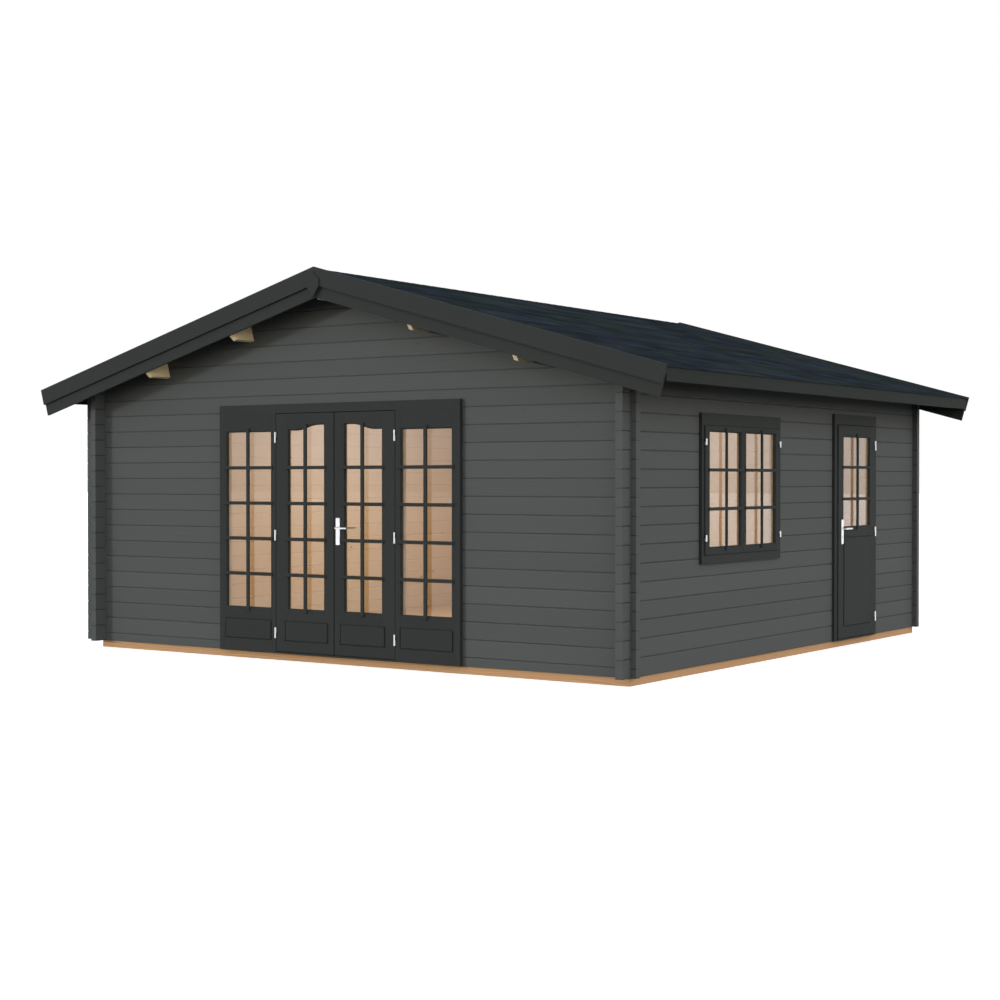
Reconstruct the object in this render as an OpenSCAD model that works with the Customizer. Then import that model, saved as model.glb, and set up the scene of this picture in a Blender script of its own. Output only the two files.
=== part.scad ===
// Log cabin: interlocking log walls on a timber base, a low gable roof with two layers of
// bargeboard, a glazed double door between two side lights, a casement window and a side door.
// The front gable faces -Y, the side with the window and the door faces +X, and the ground is
// at Z = 0. The origin is in the middle of the cabin.

/* [Plan] */
// Width over the outside faces of the side walls
cabin_w = 5306; // [4600:1:6600]
// Depth over the outside faces of the front and back walls
cabin_d = 5330; // [5000:1:6600]

/* [Base] */
// Height of the timber beams that carry the walls
base_h = 60; // [40:1:120]
// Width of those beams
base_t = 60; // [45:1:90]
// Distance of the beams behind the faces of the walls
base_inset = 14; // [0:1:40]
// Number of floor joists
joist_count = 9; // [3:1:14]
// Thickness of the floor boards
floor_t = 19; // [16:1:28]

/* [Logs] */
// Height of one log
log_h = 133; // [115:1:150]
// Thickness of a log, which is that of the wall
log_t = 58; // [44:1:90]
// Depth of the V-groove at each joint between two logs
groove_d = 5; // [2:1:8]
// Half the height of that groove at the face of the wall
groove_h = 8; // [4:1:14]
// Length of the front and back wall logs past the left wall
gable_tail_left = 160; // [100:1:250]
// Length of the front and back wall logs past the right wall
gable_tail_right = 46; // [20:1:150]
// Length of the side wall logs past the front and back walls
side_tail = 110; // [60:1:180]
// Gap round each corner notch
notch_gap = 0.5; // [0.3:0.1:1]

/* [Roof] */
// Slope of the roof in degrees
roof_pitch = 15.6; // [12:0.1:20]
// Height of the underside of the roof boards at the ridge
ridge_h = 3048; // [2900:1:3400]
// Thickness of the roof boards
deck_t = 19; // [16:1:28]
// Thickness of the roof covering
felt_t = 5; // [3:1:12]
// Distance from a side wall to the outer face of its eave board
eave_run = 420; // [300:1:600]
// Distance from the front wall to the outer face of its bargeboards
front_run = 280; // [220:1:600]
// Distance from the back wall to the outer face of its bargeboards
rear_run = 260; // [220:1:600]
// Height of the eave boards
fascia_h = 95; // [80:1:140]
// Thickness of the eave boards
fascia_t = 19; // [16:1:28]
// Overhang of the covering past the eave boards
felt_lip = 8; // [4:1:20]
// Gap between the roof boards and the layers over and under them
roof_gap = 0.3; // [0.2:0.1:1]

/* [Bargeboards] */
// Width of the outer bargeboard
barge_w = 133; // [110:1:180]
// Width of the inner bargeboard, which hangs lower
back_barge_w = 190; // [170:1:240]
// Thickness of both bargeboards
barge_t = 20; // [16:1:28]
// Height of the outer bargeboard above the roof covering
barge_lip = 14; // [6:1:30]
// Distance of the inner bargeboard's end behind that of the outer one
barge_step = 3; // [0:1:40]
// Distance of the outer bargeboard's end past the eave board
barge_past = 6; // [0:1:40]
// Width of the plate over the joint of the bargeboards
apex_w = 120; // [90:1:200]
// Height of that plate in its middle
apex_h = 203; // [170:1:260]
// Distance of its top below the peak of the bargeboards
apex_drop = 40; // [10:1:60]
// Height of its pointed top
apex_crown = 56; // [20:1:70]
// Height of its pointed foot
apex_foot = 90; // [30:1:100]

/* [Purlins] */
// Thickness of a purlin
purlin_t = 40; // [35:1:70]
// Depth of a purlin, square to the slope
purlin_h = 228; // [150:1:250]
// Depth of the ridge purlin
ridge_purlin_h = 208; // [180:1:290]
// Distance between the purlins along the slope
purlin_pitch = 980; // [700:1:1050]
// Length of the bevel under each end of a purlin
purlin_bevel = 40; // [25:1:120]

/* [Joinery] */
// Thickness of the casing boards on the right wall
casing_t = 24; // [14:1:28]
// Distance that all leaves, lights and sashes and the front casings stand out past those
leaf_proud = 10; // [0:1:14]
// Distance that a casing laps over the wall
casing_lap = 18; // [10:1:30]
// Thickness of the door leaves and the side lights
leaf_t = 42; // [38:1:46]
// Gap round each door leaf
leaf_gap = 5; // [5:0.5:7]
// Gap between the two front door leaves
meeting_gap = 8; // [8:0.5:10]
// Distance that the door stops reach past the gap
stop_lap = 8; // [6:1:12]
// Height of the thresholds
sill_h = 12; // [10:1:35]
// Distance that the thresholds stand out past the leaves
sill_nose = 0; // [0:1:30]
// Thickness of the glass
glass_t = 4; // [4:1:8]

/* [Front doors] */
// Width over the casings
front_w = 2424; // [2300:1:2600]
// Height of the top of the head casing above the base
front_h = 1992; // [1970:1:2020]
// Width of the side casings that shows
front_casing_w = 50; // [40:1:70]
// Height of the head casing
front_head_h = 72; // [60:1:110]
// Width of one door leaf
leaf_w = 596; // [540:1:620]
// Width of the posts beside the leaves
post_w = 35; // [30:1:60]
// Width of the stiles where the leaves meet
meeting_stile = 98; // [80:1:120]
// Width of the stiles at the hinges
hinge_stile = 125; // [90:1:140]
// Width of the inner stiles of the side lights
light_inner_stile = 15; // [12:1:60]
// Width of the outer stiles of the side lights
light_outer_stile = 25; // [24:1:80]
// Height of the bottom of the glass above the base
front_glass_z = 353; // [300:1:420]
// Height of the top of the leaves' glass above the base, at the meeting stile
front_glass_top = 1830; // [1750:1:1850]
// Height of the top of the side lights' glass above the base
light_glass_top = 1781; // [1700:1:1850]
// Drop of the curved top of the glass at the hinge stile
swan_drop = 42; // [20:1:90]

/* [Side door] */
// Distance of the door's middle behind the middle of the wall
door_y = 1217; // [1150:1:1300]
// Width over the casings
door_w = 907; // [860:1:1000]
// Height of the top of the head casing above the base
door_h = 1953; // [1940:1:1975]
// Width of the side casings that shows
door_casing_w = 55; // [50:1:75]
// Height of the head casing
door_head_h = 88; // [70:1:110]
// Width of the door's stiles
door_stile = 105; // [90:1:140]
// Height of the bottom of the glass above the base
door_glass_z = 976; // [900:1:1100]
// Height of the top of the glass above the base
door_glass_top = 1766; // [1700:1:1790]

/* [Window] */
// Distance of the window's middle in front of the middle of the wall
window_y = 980; // [940:1:1040]
// Width over the casings
window_w = 1346; // [1250:1:1400]
// Height of the bottom of the window above the base
window_z = 757; // [700:1:800]
// Height of the top of the window above the base
window_top = 1890; // [1860:1:1900]
// Width of the side casings that shows
window_casing_w = 37; // [30:1:60]
// Height of the head casing
window_head_h = 95; // [80:1:110]
// Height of the bottom casing
window_foot_h = 68; // [50:1:80]
// Width of the sashes' outer stiles
sash_stile = 68; // [50:1:90]
// Width of the sashes' meeting stiles
sash_meeting = 40; // [35:1:80]
// Height of the sashes' top rails
sash_top = 38; // [35:1:60]
// Height of the sashes' bottom rails
sash_foot = 50; // [40:1:70]
// Gap round each sash
sash_gap = 3; // [2:0.5:5]

/* [Hardware] */
// Radius of the hinge barrels
barrel_r = 7; // [6:0.5:8]
// Height of a door hinge
hinge_h = 84; // [70:1:110]
// Height of a window hinge
window_hinge_h = 48; // [40:1:60]
// Gap between the two halves of a hinge
knuckle_gap = 0.3; // [0.2:0.1:0.5]
// Width of a hinge flap
flap_w = 7; // [7:1:30]
// Thickness of a hinge flap
flap_t = 2.5; // [2:0.5:3]
// Width of the handle plates
plate_w = 40; // [32:1:46]
// Height of the handle plates
plate_h = 213; // [180:1:240]
// Thickness of the handle plates
plate_t = 8; // [6:1:10]
// Length of a lever
lever_l = 118; // [95:1:130]
// Radius of a lever
lever_r = 9; // [7:0.5:10]
// Distance of a lever's middle from the door
lever_out = 46; // [40:1:55]
// Gap round the spindle in the handle plates
spindle_gap = 0.08; // [0.05:0.01:0.1]

/* [Hidden] */
$fn = 48;
half_w = cabin_w / 2;
half_d = cabin_d / 2;
slope = tan(roof_pitch);
cosine = cos(roof_pitch);
eave_x = half_w + eave_run;
barge_x = eave_x + barge_past;
front_y = -half_d - front_run;
rear_y = half_d + rear_run;
// Height of the joint between two logs of a front or back wall, and of a side wall
function gable_joint(n) = base_h + log_h * (n - 0.5);
function side_joint(n) = base_h + log_h * n;
// Height of the roof boards' underside at a distance from the ridge
function under_z(x) = ridge_h - abs(x) * slope;
// Upright distance that the walls and purlins stay below the roof boards
roof_drop = roof_gap / cosine;
top_z = ridge_h + 200;
courses = ceil((top_z - base_h) / log_h);
floor_z = base_h + floor_t;
leaf_z = base_h + sill_h + leaf_gap;
// Outer face of the leaves, lights and sashes on the front wall
leaf_y = -half_d - casing_t - leaf_proud;
// Front of the stops behind them
stop_y = leaf_y + leaf_t + leaf_gap;

// Front door unit: distances from its middle
front_half = front_w / 2 - casing_lap;
front_jamb_x = front_w / 2 - front_casing_w;
front_casing_z = base_h + front_h - front_head_h;
leaf_in = meeting_gap / 2;
leaf_out = leaf_in + leaf_w;
post_in = leaf_out + leaf_gap;
post_out = post_in + post_w;
front_leaf_top = front_casing_z - leaf_gap;
// Least height of the head timbers, and of the one over the side door
head_t = 8;
door_head_t = 30;
front_split = gable_joint(ceil((front_casing_z + head_t - base_h) / log_h + 0.5));

// Side door and window: distances along the wall
door_half = door_w / 2 - casing_lap;
door_jamb = door_w / 2 - door_casing_w;
door_casing_z = base_h + door_h - door_head_h;
door_leaf_w = 2 * (door_jamb - leaf_gap);
door_leaf_top = door_casing_z - leaf_gap;
window_half = window_w / 2 - casing_lap;
window_jamb = window_w / 2 - window_casing_w;
window_z0 = base_h + window_z + casing_lap;
sash_z = base_h + window_z + window_foot_h;
sash_z1 = base_h + window_top - window_head_h;
side_split = side_joint(ceil((sash_z1 + sash_gap + head_t - base_h) / log_h));
door_head_z = max(door_casing_z + door_head_t, side_split);

// Heights of the hinges' middles above the base
front_hinges = [165, 945, 1727];
door_hinges = [168, 926, 1692];
window_hinges = [952, 1672];
// Heights of the levers above the base, and of the plates' middles below them
front_lever_z = base_h + 1012;
door_lever_z = base_h + 966;
plate_drop = 27;
front_lever_x = leaf_in + 38;
door_lever_y = -door_leaf_w / 2 + 72;
spindle_r = 5;
hub_r = 11;
pin_r = 3;
pin_gap = 0.05;
pin_l = 16;

wall_grey = [0.30, 0.31, 0.31];
joinery_grey = [0.20, 0.21, 0.21];
felt_black = [0.14, 0.16, 0.19];
pine = [0.80, 0.68, 0.50];
base_brown = [0.66, 0.50, 0.33];
metal = [0.85, 0.85, 0.86];
glass_tint = [0.75, 0.82, 0.85, 0.4];

// Draws an outline given in (x, z) and runs it along Y
module along_y(y0, y1) {
  translate([0, y1, 0]) rotate([90, 0, 0]) linear_extrude(height = y1 - y0) children();
}

// Draws an outline given in (y, z) and runs it along X
module along_x(x0, x1) {
  translate([x0, 0, 0]) rotate([90, 0, 90]) linear_extrude(height = x1 - x0) children();
}

// A block between two corners
module block(low, high) {
  translate(low) cube(high - low);
}

// Puts a shape at both sides of the middle plane X = 0
module both_sides() {
  children();
  mirror([1, 0, 0]) children();
}

// Moves a shape drawn for the front wall's outer face, with its middle at X = 0, to the right wall
module on_right_wall(y) {
  translate([half_w, y, 0]) rotate([0, 0, 90]) translate([0, half_d, 0]) children();
}

// Outline of one face of a stack of logs, from z0 up to z1, as pairs of depth and height
function face_line(z0, z1, joints) = concat(
  [for (j = joints) if (abs(j - z0) < 1) each [[groove_d, z0], [0, z0 + groove_h]]],
  [for (j = joints) if (j > z0 + 1 && j < z1 - 1)
    each [[0, j - groove_h], [groove_d, j], [0, j + groove_h]]],
  [for (j = joints) if (abs(j - z1) < 1) each [[0, z1 - groove_h], [groove_d, z1]]]
);

// Cross-section of a wall of logs between two heights, outer face at 0 and inner face at log_t
module log_section(z0, z1, joints) {
  line = face_line(z0, z1, joints);
  on_low = len([for (j = joints) if (abs(j - z0) < 1) j]) > 0;
  on_high = len([for (j = joints) if (abs(j - z1) < 1) j]) > 0;
  outer = concat(on_low ? [] : [[0, z0]], line, on_high ? [] : [[0, z1]]);
  inner = [for (i = [len(outer) - 1 : -1 : 0]) [log_t - outer[i][0], outer[i][1]]];
  polygon(concat(outer, inner));
}

gable_joints = [for (n = [1 : courses]) gable_joint(n)];
side_joints = [for (n = [1 : courses]) side_joint(n)];

// The space under the roof
module under_roof() {
  reach = half_w + 400;
  low = under_z(reach) - roof_drop;
  along_y(-half_d - 400, half_d + 400)
    polygon([[-reach, 0], [reach, 0], [reach, low], [0, ridge_h - roof_drop], [-reach, low]]);
}

// Corner notches of a front or back wall: the bands that the side wall's logs take
module gable_notches(y0) {
  both_sides()
    for (m = [0 : courses])
      block([half_w - log_t - notch_gap, y0 - 1, side_joint(m) + log_h / 4 - notch_gap],
            [half_w + notch_gap, y0 + log_t + 1, side_joint(m) + log_h * 3 / 4 + notch_gap]);
}

// Corner notches of a side wall: the bands that the front and back walls' logs take
module side_notches(x0) {
  for (side = [-1, 1], m = [0 : courses])
    translate([0, side * (half_d - log_t / 2), side_joint(m)])
      block([x0 - 1, -log_t / 2 - notch_gap, -log_h / 4 - notch_gap],
            [x0 + log_t + 1, log_t / 2 + notch_gap, log_h / 4 + notch_gap]);
}

// Logs of the front wall from x0 to x1
module front_logs(x0, x1, z0, z1) {
  along_x(x0, x1) translate([-half_d, 0]) log_section(z0, z1, gable_joints);
}

// Logs of the right wall from y0 to y1
module right_logs(y0, y1, z0, z1) {
  along_y(y0, y1) translate([half_w, 0]) mirror([1, 0]) log_section(z0, z1, side_joints);
}

// A purlin at a distance from the ridge along the slope, its top under the roof boards
module purlin_outline(run, grow) {
  translate([0, ridge_h]) rotate(-roof_pitch)
    translate([run - purlin_t / 2 - grow, -purlin_h - grow])
      square([purlin_t + 2 * grow, purlin_h + 2 * grow - roof_gap]);
}

module ridge_outline(grow) {
  low = ridge_h - ridge_purlin_h - grow;
  w = purlin_t / 2 + grow;
  lift = grow - roof_drop;
  polygon([[-w, low], [w, low], [w, under_z(w) + lift], [0, ridge_h + lift], [-w, under_z(w) + lift]]);
}

// The holes that the purlins fill in the front and back walls
module purlin_holes(y0) {
  along_y(y0 - 1, y0 + log_t + 1) {
    ridge_outline(notch_gap);
    for (k = [1, 2]) {
      purlin_outline(k * purlin_pitch, notch_gap);
      mirror([1, 0]) purlin_outline(k * purlin_pitch, notch_gap);
    }
  }
}

// Bevels under both ends of a purlin whose underside is at z
module end_bevels(z) {
  for (y = [front_y + 2 * barge_t, rear_y - 2 * barge_t])
    translate([0, y, z]) rotate([45, 0, 0])
      cube([2 * purlin_t, purlin_bevel * sqrt(2), purlin_bevel * sqrt(2)], center = true);
}

module side_purlin(run) {
  difference() {
    along_y(front_y + 2 * barge_t, rear_y - 2 * barge_t) purlin_outline(run, 0);
    translate([0, 0, ridge_h]) rotate([0, roof_pitch, 0]) translate([run, 0, 0]) end_bevels(-purlin_h);
  }
}

// A layer of the roof over the right side, from t0 to t1 above the underside of the boards
module roof_layer(t0, t1, x1, y0, y1) {
  along_y(y0, y1)
    polygon([[0, under_z(0) + t0 / cosine], [x1, under_z(x1) + t0 / cosine],
             [x1, under_z(x1) + t1 / cosine], [0, under_z(0) + t1 / cosine]]);
}

// A bargeboard over the right side, from depth t0 to t1 below its upper edge, cut square at its end
module barge(t0, t1, step) {
  lift = (deck_t + felt_t + barge_lip) / cosine;
  run = barge_x / cosine + lift * sin(roof_pitch) - step;
  intersection() {
    translate([0, ridge_h + lift]) rotate(-roof_pitch)
      translate([-barge_w, -t1]) square([run + barge_w, t1 - t0]);
    translate([0, 0]) square([2 * eave_x, 2 * ridge_h]);
  }
}

module base_sides() {
  color(base_brown) both_sides()
    block([half_w - base_inset - base_t, -half_d + base_inset, 0],
          [half_w - base_inset, half_d - base_inset, base_h]);
}

module base_ends() {
  reach = half_w - base_inset - base_t;
  color(base_brown)
    for (side = [0, 1]) mirror([0, side, 0])
      block([-reach, -half_d + base_inset, 0], [reach, -half_d + base_inset + base_t, base_h]);
}

module floor_joists() {
  reach = half_w - base_inset - base_t;
  first = -half_d + base_inset + base_t / 2;
  pitch = -2 * first / (joist_count + 1);
  color(base_brown)
    for (n = [1 : joist_count])
      block([-reach, first + n * pitch - base_t / 2, 0], [reach, first + n * pitch + base_t / 2, base_h]);
}

module floor() {
  edge = 2;
  color(pine)
    block([-half_w + log_t + edge, -half_d + log_t + edge, base_h],
          [half_w - log_t - edge, half_d - log_t - edge, floor_z]);
}

module front_wall_left() {
  color(wall_grey) difference() {
    front_logs(-half_w - gable_tail_left, -front_half, base_h, front_split);
    gable_notches(-half_d);
  }
}

module front_wall_right() {
  color(wall_grey) difference() {
    front_logs(front_half, half_w + gable_tail_right, base_h, front_split);
    gable_notches(-half_d);
  }
}

module front_gable() {
  color(wall_grey) difference() {
    intersection() {
      front_logs(-half_w - gable_tail_left, half_w + gable_tail_right, front_split, top_z);
      under_roof();
    }
    gable_notches(-half_d);
    purlin_holes(-half_d);
  }
}

module back_wall() {
  color(wall_grey) difference() {
    intersection() {
      mirror([0, 1, 0])
        front_logs(-half_w - gable_tail_left, half_w + gable_tail_right, base_h, top_z);
      under_roof();
    }
    gable_notches(half_d - log_t);
    purlin_holes(half_d - log_t);
  }
}

module left_wall() {
  color(wall_grey) difference() {
    intersection() {
      mirror([1, 0, 0]) right_logs(-half_d - side_tail, half_d + side_tail, base_h, top_z);
      under_roof();
    }
    side_notches(-half_w);
  }
}

module right_wall_front() {
  color(wall_grey) difference() {
    right_logs(-half_d - side_tail, -window_y - window_half, base_h, side_split);
    side_notches(half_w - log_t);
  }
}

module right_wall_sill() {
  color(wall_grey) right_logs(-window_y - window_half, -window_y + window_half, base_h, window_z0);
}

module right_wall_middle() {
  color(wall_grey) right_logs(-window_y + window_half, door_y - door_half, base_h, side_split);
}

module right_wall_rear() {
  color(wall_grey) difference() {
    right_logs(door_y + door_half, half_d + side_tail, base_h, side_split);
    side_notches(half_w - log_t);
  }
}

module right_wall_top() {
  color(wall_grey) difference() {
    intersection() {
      right_logs(-half_d - side_tail, half_d + side_tail, side_split, top_z);
      under_roof();
    }
    side_notches(half_w - log_t);
    block([half_w - log_t - 1, door_y - door_half, base_h],
          [half_w + 1, door_y + door_half, door_head_z]);
  }
}

module ridge_purlin() {
  color(pine) difference() {
    along_y(front_y + 2 * barge_t, rear_y - 2 * barge_t) ridge_outline(0);
    end_bevels(ridge_h - ridge_purlin_h);
  }
}

module right_purlins() {
  color(pine) for (k = [1, 2]) side_purlin(k * purlin_pitch);
}

module left_purlins() {
  mirror([1, 0, 0]) right_purlins();
}

module roof_boards_right() {
  color(pine) roof_layer(0, deck_t, eave_x - fascia_t, front_y + barge_t, rear_y - barge_t);
}

module roof_boards_left() {
  mirror([1, 0, 0]) roof_boards_right();
}

module roof_felt_right() {
  color(felt_black)
    roof_layer(deck_t + roof_gap, deck_t + felt_t, eave_x + felt_lip, front_y + barge_t, rear_y - barge_t);
}

module roof_felt_left() {
  mirror([1, 0, 0]) roof_felt_right();
}

module eave_boards() {
  inner = eave_x - fascia_t;
  peak = under_z(eave_x) + deck_t / cosine;
  color(joinery_grey) both_sides()
    along_y(front_y + 2 * barge_t, rear_y - 2 * barge_t)
      polygon([[inner, peak - fascia_h], [eave_x, peak - fascia_h], [eave_x, peak],
               [inner, peak + fascia_t * slope]]);
}

module bargeboards_right() {
  color(joinery_grey) {
    along_y(front_y, front_y + barge_t) barge(0, barge_w, 0);
    along_y(rear_y - barge_t, rear_y) barge(0, barge_w, 0);
  }
}

module bargeboards_left() {
  mirror([1, 0, 0]) bargeboards_right();
}

module inner_barges_right() {
  top = deck_t + felt_t + barge_lip + roof_gap;
  color(joinery_grey) {
    along_y(front_y + barge_t, front_y + 2 * barge_t) barge(top, top + back_barge_w, barge_step);
    along_y(rear_y - 2 * barge_t, rear_y - barge_t) barge(top, top + back_barge_w, barge_step);
  }
}

module inner_barges_left() {
  mirror([1, 0, 0]) inner_barges_right();
}

module apex_plates() {
  top = ridge_h + (deck_t + felt_t + barge_lip) / cosine - apex_drop;
  foot = top - apex_h;
  w = apex_w / 2;
  plate = 12;
  color(joinery_grey)
    for (y = [front_y - plate, rear_y])
      along_y(y, y + plate)
        polygon([[-w, top - apex_crown], [0, top], [w, top - apex_crown],
                 [w, foot + apex_foot], [0, foot], [-w, foot + apex_foot]]);
}

// A post of a door frame: its door side is at x, its back at x + t, and its stop reaches past x
module rebated_post(x, t, z1, stop) {
  y1 = -half_d + log_t;
  block([x, leaf_y, base_h + sill_h], [x + t, y1, z1]);
  if (stop > 0)
    block([x - leaf_gap - stop, stop_y, base_h + sill_h], [x + t / 2, y1, z1]);
}

module frame_posts() {
  y0 = -half_d;
  y1 = -half_d + log_t;
  color(joinery_grey) {
    both_sides() {
      block([front_jamb_x, y0, base_h], [front_half - 2, y1, front_casing_z]);
      rebated_post(post_in, post_w, front_casing_z, stop_lap);
    }
    on_right_wall(door_y)
      both_sides() {
        block([door_jamb, y0, base_h], [door_half, y1, door_casing_z]);
        block([door_jamb - leaf_gap - stop_lap, stop_y, base_h + sill_h],
              [door_jamb + 1, y1, door_casing_z]);
      }
    on_right_wall(-window_y)
      both_sides() block([window_jamb, y0, window_z0], [window_half, y1, side_split]);
  }
}

// A head between two posts with a stop behind the leaves
module door_head(x, z, h, stop_x) {
  y1 = -half_d + log_t;
  block([-x, -half_d, z], [x, y1, z + h]);
  block([-stop_x, stop_y, z - leaf_gap - stop_lap], [stop_x, y1, z + 1]);
}

module frame_heads() {
  color(joinery_grey) {
    door_head(front_half - 2, front_casing_z, front_split - front_casing_z, post_in - leaf_gap - stop_lap);
    on_right_wall(door_y)
      door_head(door_half, door_casing_z, door_head_z - door_casing_z, door_jamb - leaf_gap - stop_lap);
    on_right_wall(-window_y) {
      block([-window_jamb, -half_d, sash_z1 + sash_gap], [window_jamb, -half_d + log_t, side_split]);
      block([-window_jamb, -half_d, window_z0], [window_jamb, -half_d + log_t, sash_z - sash_gap]);
    }
  }
}

// A threshold with a stop behind the leaves
module threshold(x, stop_x) {
  y1 = -half_d + log_t;
  block([-x, leaf_y - sill_nose, base_h], [x, y1, base_h + sill_h]);
  block([-stop_x, stop_y, base_h], [stop_x, y1, leaf_z + stop_lap]);
}

module thresholds() {
  color(base_brown) {
    threshold(front_jamb_x, post_in - leaf_gap - stop_lap);
    on_right_wall(door_y) threshold(door_jamb, door_jamb - leaf_gap - stop_lap);
  }
}

module casing_sides() {
  y0 = -half_d - casing_t;
  color(joinery_grey) {
    both_sides() block([front_jamb_x, leaf_y, base_h], [front_w / 2, -half_d, front_casing_z]);
    on_right_wall(door_y)
      both_sides() block([door_jamb, y0, base_h], [door_w / 2, -half_d, door_casing_z]);
    on_right_wall(-window_y)
      both_sides()
        block([window_jamb, y0, sash_z - sash_gap], [window_w / 2, -half_d, sash_z1 + sash_gap]);
  }
}

module casing_heads() {
  y0 = -half_d - casing_t;
  color(joinery_grey) {
    block([-front_w / 2, leaf_y, front_casing_z], [front_w / 2, -half_d, base_h + front_h]);
    on_right_wall(door_y)
      block([-door_w / 2, y0, door_casing_z], [door_w / 2, -half_d, base_h + door_h]);
    on_right_wall(-window_y) {
      block([-window_w / 2, y0, sash_z1 + sash_gap], [window_w / 2, -half_d, base_h + window_top]);
      block([-window_w / 2, y0, base_h + window_z], [window_w / 2, -half_d, sash_z - sash_gap]);
    }
  }
}

// A leaf, light or sash from x0 to x1 with a hole for its glass
module glazed(x0, x1, z0, z1, gx0, gx1, gz0, gz1) {
  difference() {
    block([x0, leaf_y, z0], [x1, leaf_y + leaf_t, z1]);
    block([gx0, leaf_y - 1, gz0], [gx1, leaf_y + leaf_t + 1, gz1]);
  }
}

// A pane halfway through a leaf
module pane(gx0, gx1, gz0, gz1) {
  y = leaf_y + leaf_t / 2;
  block([gx0, y - glass_t / 2, gz0], [gx1, y + glass_t / 2, gz1]);
}

light_gx0 = post_out + light_inner_stile;
light_gx1 = front_jamb_x - light_outer_stile;
front_gz0 = base_h + front_glass_z;
front_gz1 = base_h + front_glass_top;
light_gz1 = base_h + light_glass_top;
sash_x0 = sash_gap / 2;
sash_x1 = window_jamb - sash_gap;
sash_gz0 = sash_z + sash_foot;
sash_gz1 = sash_z1 - sash_top;

module side_lights() {
  color(joinery_grey) both_sides()
    glazed(post_out, front_jamb_x, base_h + sill_h, front_casing_z,
           light_gx0, light_gx1, front_gz0, light_gz1);
}

module window_sashes() {
  color(joinery_grey) on_right_wall(-window_y) both_sides()
    glazed(sash_x0, sash_x1, sash_z, sash_z1,
           sash_x0 + sash_meeting, sash_x1 - sash_stile, sash_gz0, sash_gz1);
}

module fixed_glass() {
  color(glass_tint) {
    both_sides() pane(light_gx0, light_gx1, front_gz0, light_gz1);
    on_right_wall(-window_y) both_sides()
      pane(sash_x0 + sash_meeting, sash_x1 - sash_stile, sash_gz0, sash_gz1);
  }
}

// Outline of a front door's glass: its top rises in an S towards the meeting stile, level at both ends
module swan_outline() {
  x0 = leaf_in + meeting_stile;
  x1 = leaf_out - hinge_stile;
  curve_x = x0 + (x1 - x0) * 0.2;
  curve_w = (x1 - x0) * 0.6;
  steps = 14;
  top = [for (i = [steps : -1 : 0])
    let (s = i / steps) [curve_x + s * curve_w, front_gz1 - swan_drop * (1 - cos(180 * s)) / 2]];
  polygon(concat([[x0, front_gz0], [x1, front_gz0], [x1, front_gz1 - swan_drop]], top, [[x0, front_gz1]]));
}

// The hole for the spindle through a leaf
module spindle_hole(x, z) {
  translate([x, leaf_y, z]) rotate([-90, 0, 0])
    translate([0, 0, -1]) cylinder(r = spindle_r + 2, h = leaf_t + 2);
}

module front_leaf() {
  difference() {
    block([leaf_in, leaf_y, leaf_z], [leaf_out, leaf_y + leaf_t, front_leaf_top]);
    along_y(leaf_y - 1, leaf_y + leaf_t + 1) swan_outline();
  }
}

module front_door_right() {
  color(joinery_grey) difference() {
    front_leaf();
    spindle_hole(front_lever_x, front_lever_z);
  }
}

module front_door_left() {
  color(joinery_grey) mirror([1, 0, 0]) front_leaf();
}

module right_door_glass() {
  y = leaf_y + leaf_t / 2;
  color(glass_tint) along_y(y - glass_t / 2, y + glass_t / 2) swan_outline();
}

module left_door_glass() {
  mirror([1, 0, 0]) right_door_glass();
}

module side_door() {
  w = door_leaf_w / 2;
  color(joinery_grey) on_right_wall(door_y) difference() {
    glazed(-w, w, leaf_z, door_leaf_top,
           -w + door_stile, w - door_stile, base_h + door_glass_z, base_h + door_glass_top);
    spindle_hole(door_lever_y, door_lever_z);
  }
}

module side_door_glass() {
  w = door_leaf_w / 2 - door_stile;
  color(glass_tint) on_right_wall(door_y)
    pane(-w, w, base_h + door_glass_z, base_h + door_glass_top);
}

// Handle plates on both faces of a leaf, bored for the levers' hubs
module plates(x, z) {
  for (y = [leaf_y - plate_t, leaf_y + leaf_t])
    difference() {
      block([x - plate_w / 2, y, z - plate_drop - plate_h / 2],
            [x + plate_w / 2, y + plate_t, z - plate_drop + plate_h / 2]);
      translate([x, y - 1, z]) rotate([-90, 0, 0])
        cylinder(r = hub_r + spindle_gap, h = plate_t + 2);
    }
}

// A pair of levers on one spindle, pointing to +X
module levers(x, z) {
  translate([x, leaf_y, z]) {
    rotate([-90, 0, 0]) translate([0, 0, -lever_out]) cylinder(r = spindle_r, h = leaf_t + 2 * lever_out);
    for (y = [-lever_out, leaf_t])
      rotate([-90, 0, 0]) translate([0, 0, y]) cylinder(r = hub_r, h = lever_out);
    for (y = [-lever_out, leaf_t + lever_out])
      translate([0, y, 0]) rotate([0, 90, 0]) cylinder(r = lever_r, h = lever_l);
  }
}

module front_handle_plates() {
  color(metal) plates(front_lever_x, front_lever_z);
}

module front_lever() {
  color(metal) levers(front_lever_x, front_lever_z);
}

module side_handle_plates() {
  color(metal) on_right_wall(door_y) plates(door_lever_y, door_lever_z);
}

module side_lever() {
  color(metal) on_right_wall(door_y) levers(door_lever_y, door_lever_z);
}

// Upper half of a hinge on a leaf that reaches from the axis towards -X, bored for the pin
module upper_half(x, z, h) {
  y = leaf_y - barrel_r - 1;
  low = z + knuckle_gap / 2;
  difference() {
    union() {
      translate([x, y, low]) cylinder(r = barrel_r, h = h / 2 - knuckle_gap / 2);
      block([x - flap_w, leaf_y - flap_t, low], [x, leaf_y, z + h / 2]);
    }
    translate([x, y, low - 1]) cylinder(r = pin_r + pin_gap, h = pin_l + 2);
  }
}

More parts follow.
